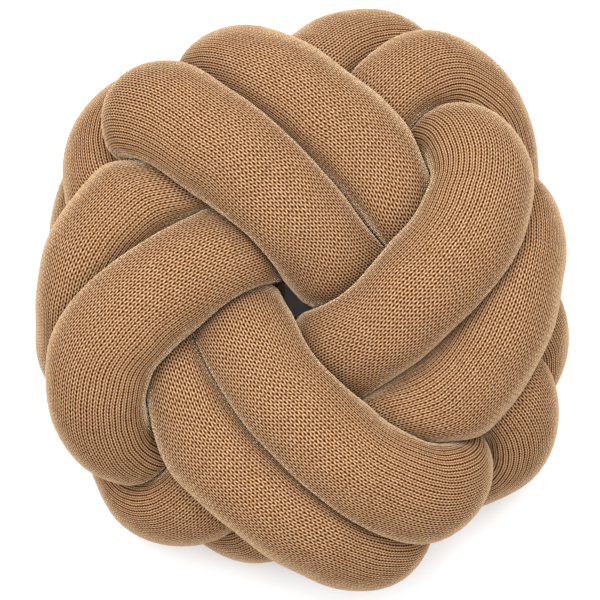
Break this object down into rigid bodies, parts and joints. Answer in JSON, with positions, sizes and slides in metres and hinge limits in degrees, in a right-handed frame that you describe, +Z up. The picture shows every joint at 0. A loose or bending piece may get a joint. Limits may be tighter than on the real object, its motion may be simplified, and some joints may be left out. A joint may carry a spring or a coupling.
{
  "type": "knot cushion",
  "caption": "Round cushion made of one long stuffed tube of knitted cloth, tied into a flat ball of paired, interlaced passes.",
  "frame": {"origin": "on the floor under the middle of the knot's box", "axes": "+Z up through the middle hole, out of the face that shows; +X to the right and +Y to the top of that face"},
  "size_m": [0.2872, 0.312, 0.1675],
  "materials": {
    "knit_cloth": "fine plain knit in tan yarn, matt and slightly fuzzy, its ribs running along the tube"
  },
  "bodies": {
    "root": {"knot_tube": "knit_cloth"}
  },
  "joints": []
}
